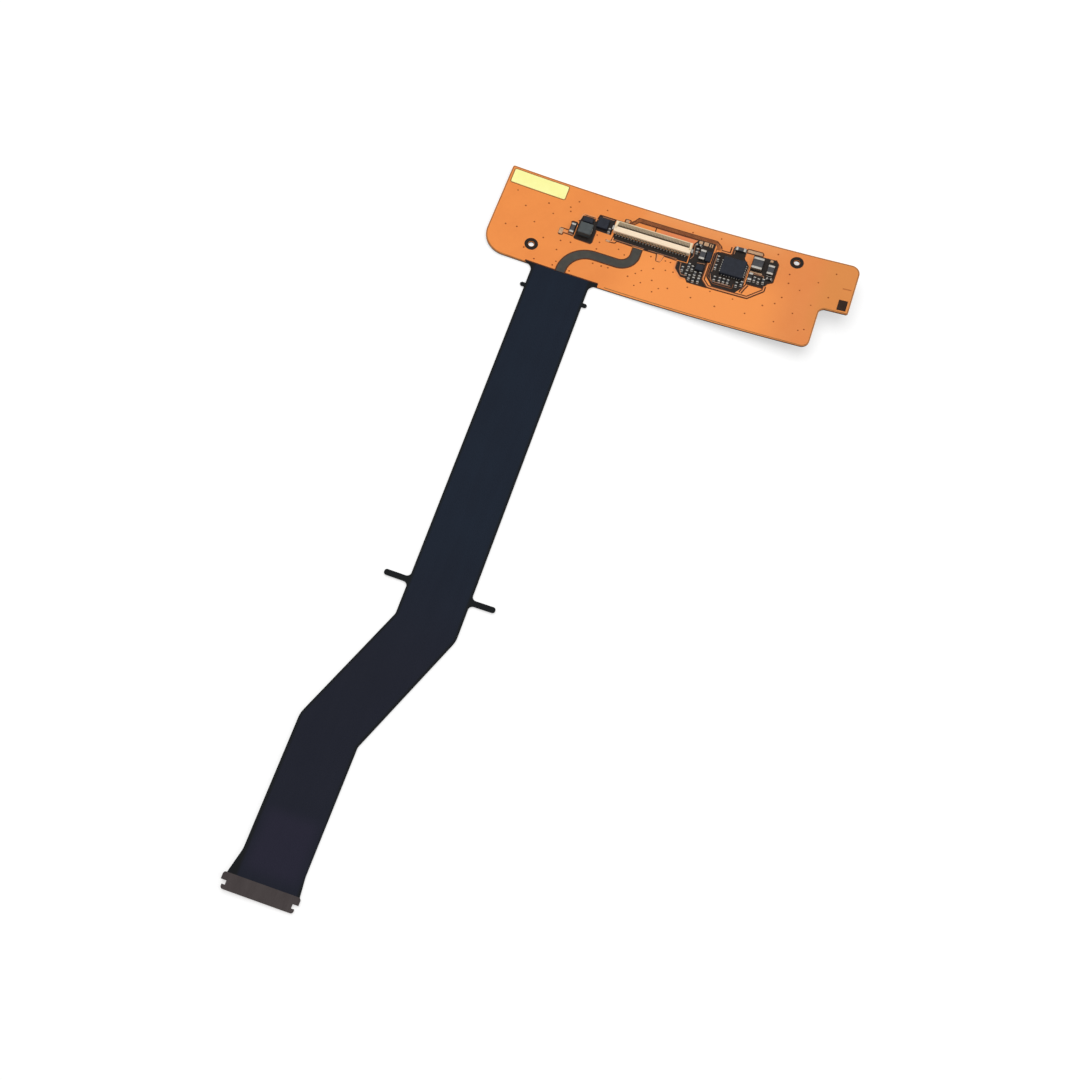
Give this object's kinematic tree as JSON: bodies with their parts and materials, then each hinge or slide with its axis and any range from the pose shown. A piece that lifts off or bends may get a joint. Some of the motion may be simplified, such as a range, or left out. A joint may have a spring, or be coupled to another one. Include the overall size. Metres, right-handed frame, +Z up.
{
  "type": "flat flex cable",
  "caption": "Flat flexible circuit: component board with a flip-lock cable connector and a long tail that ends in plug-in contacts.",
  "frame": {"origin": "centre of the left locating hole, at the height of the board stiffener's lowest line", "axes": "+X along the board towards its tab, +Y away from the contact end along the tail, +Z up out of the component side"},
  "size_m": [0.0699, 0.1478, 0.0044],
  "materials": {
    "orange_film": "satin cover film",
    "amber_laminate": "bare polyimide laminate",
    "dark_stiffener": "matt stiffener sheet",
    "dark_film": "satin dark cover film",
    "end_board": "satin stiffener sheet",
    "dark_resist": "matt resist ink",
    "grey_shield": "matt shield film",
    "gold_plating": "plated, satin",
    "pale_plating": "pale plated pad, matt",
    "trace_film": "trace under satin cover film",
    "cream_resin": "moulded, satin",
    "contact_metal": "stamped and plated",
    "tin_metal": "tin plated",
    "chip_resin": "moulded, satin",
    "inductor_block": "pressed powder block",
    "capacitor_ceramic": "fired ceramic",
    "resistor_ceramic": "coated ceramic"
  },
  "bodies": {
    "circuit": {"flex_core": "amber_laminate", "board_stiffener": "dark_stiffener", "board_coverlay": "orange_film", "tail_top_film": "dark_film", "tail_under_film": "dark_film", "end_stiffener": "end_board", "end_contacts": "gold_plating", "locating_rings": "dark_resist", "component_resist": "dark_resist", "marking_patches": "dark_resist", "ground_pad": "pale_plating", "bare_pads": "gold_plating", "shield_strip": "grey_shield", "bus_traces": "trace_film", "guard_traces": "trace_film", "connector_housing": "cream_resin", "connector_front_contacts": "contact_metal", "connector_rear_contacts": "contact_metal", "connector_solder_tabs": "tin_metal", "power_inductor": "inductor_block", "inductor_terminals": "tin_metal", "driver_chip": "chip_resin", "driver_chip_leads": "tin_metal", "regulator_chip": "chip_resin", "level_chip": "chip_resin", "logic_chip": "chip_resin", "diode": "chip_resin", "ceramic_capacitor_bodies": "capacitor_ceramic", "ceramic_capacitor_ends": "tin_metal", "resistor_bodies": "resistor_ceramic", "resistor_ends": "tin_metal"},
    "lever": {"connector_lever": "cream_resin"}
  },
  "joints": [
    {"name": "lever_hinge", "type": "hinge", "parent": "circuit", "child": "lever", "pos_m": [0.02151, 0.00913, 0.00147], "axis": [-0.9992, 0, -0.0392], "range_deg": [0, 90]}
  ]
}
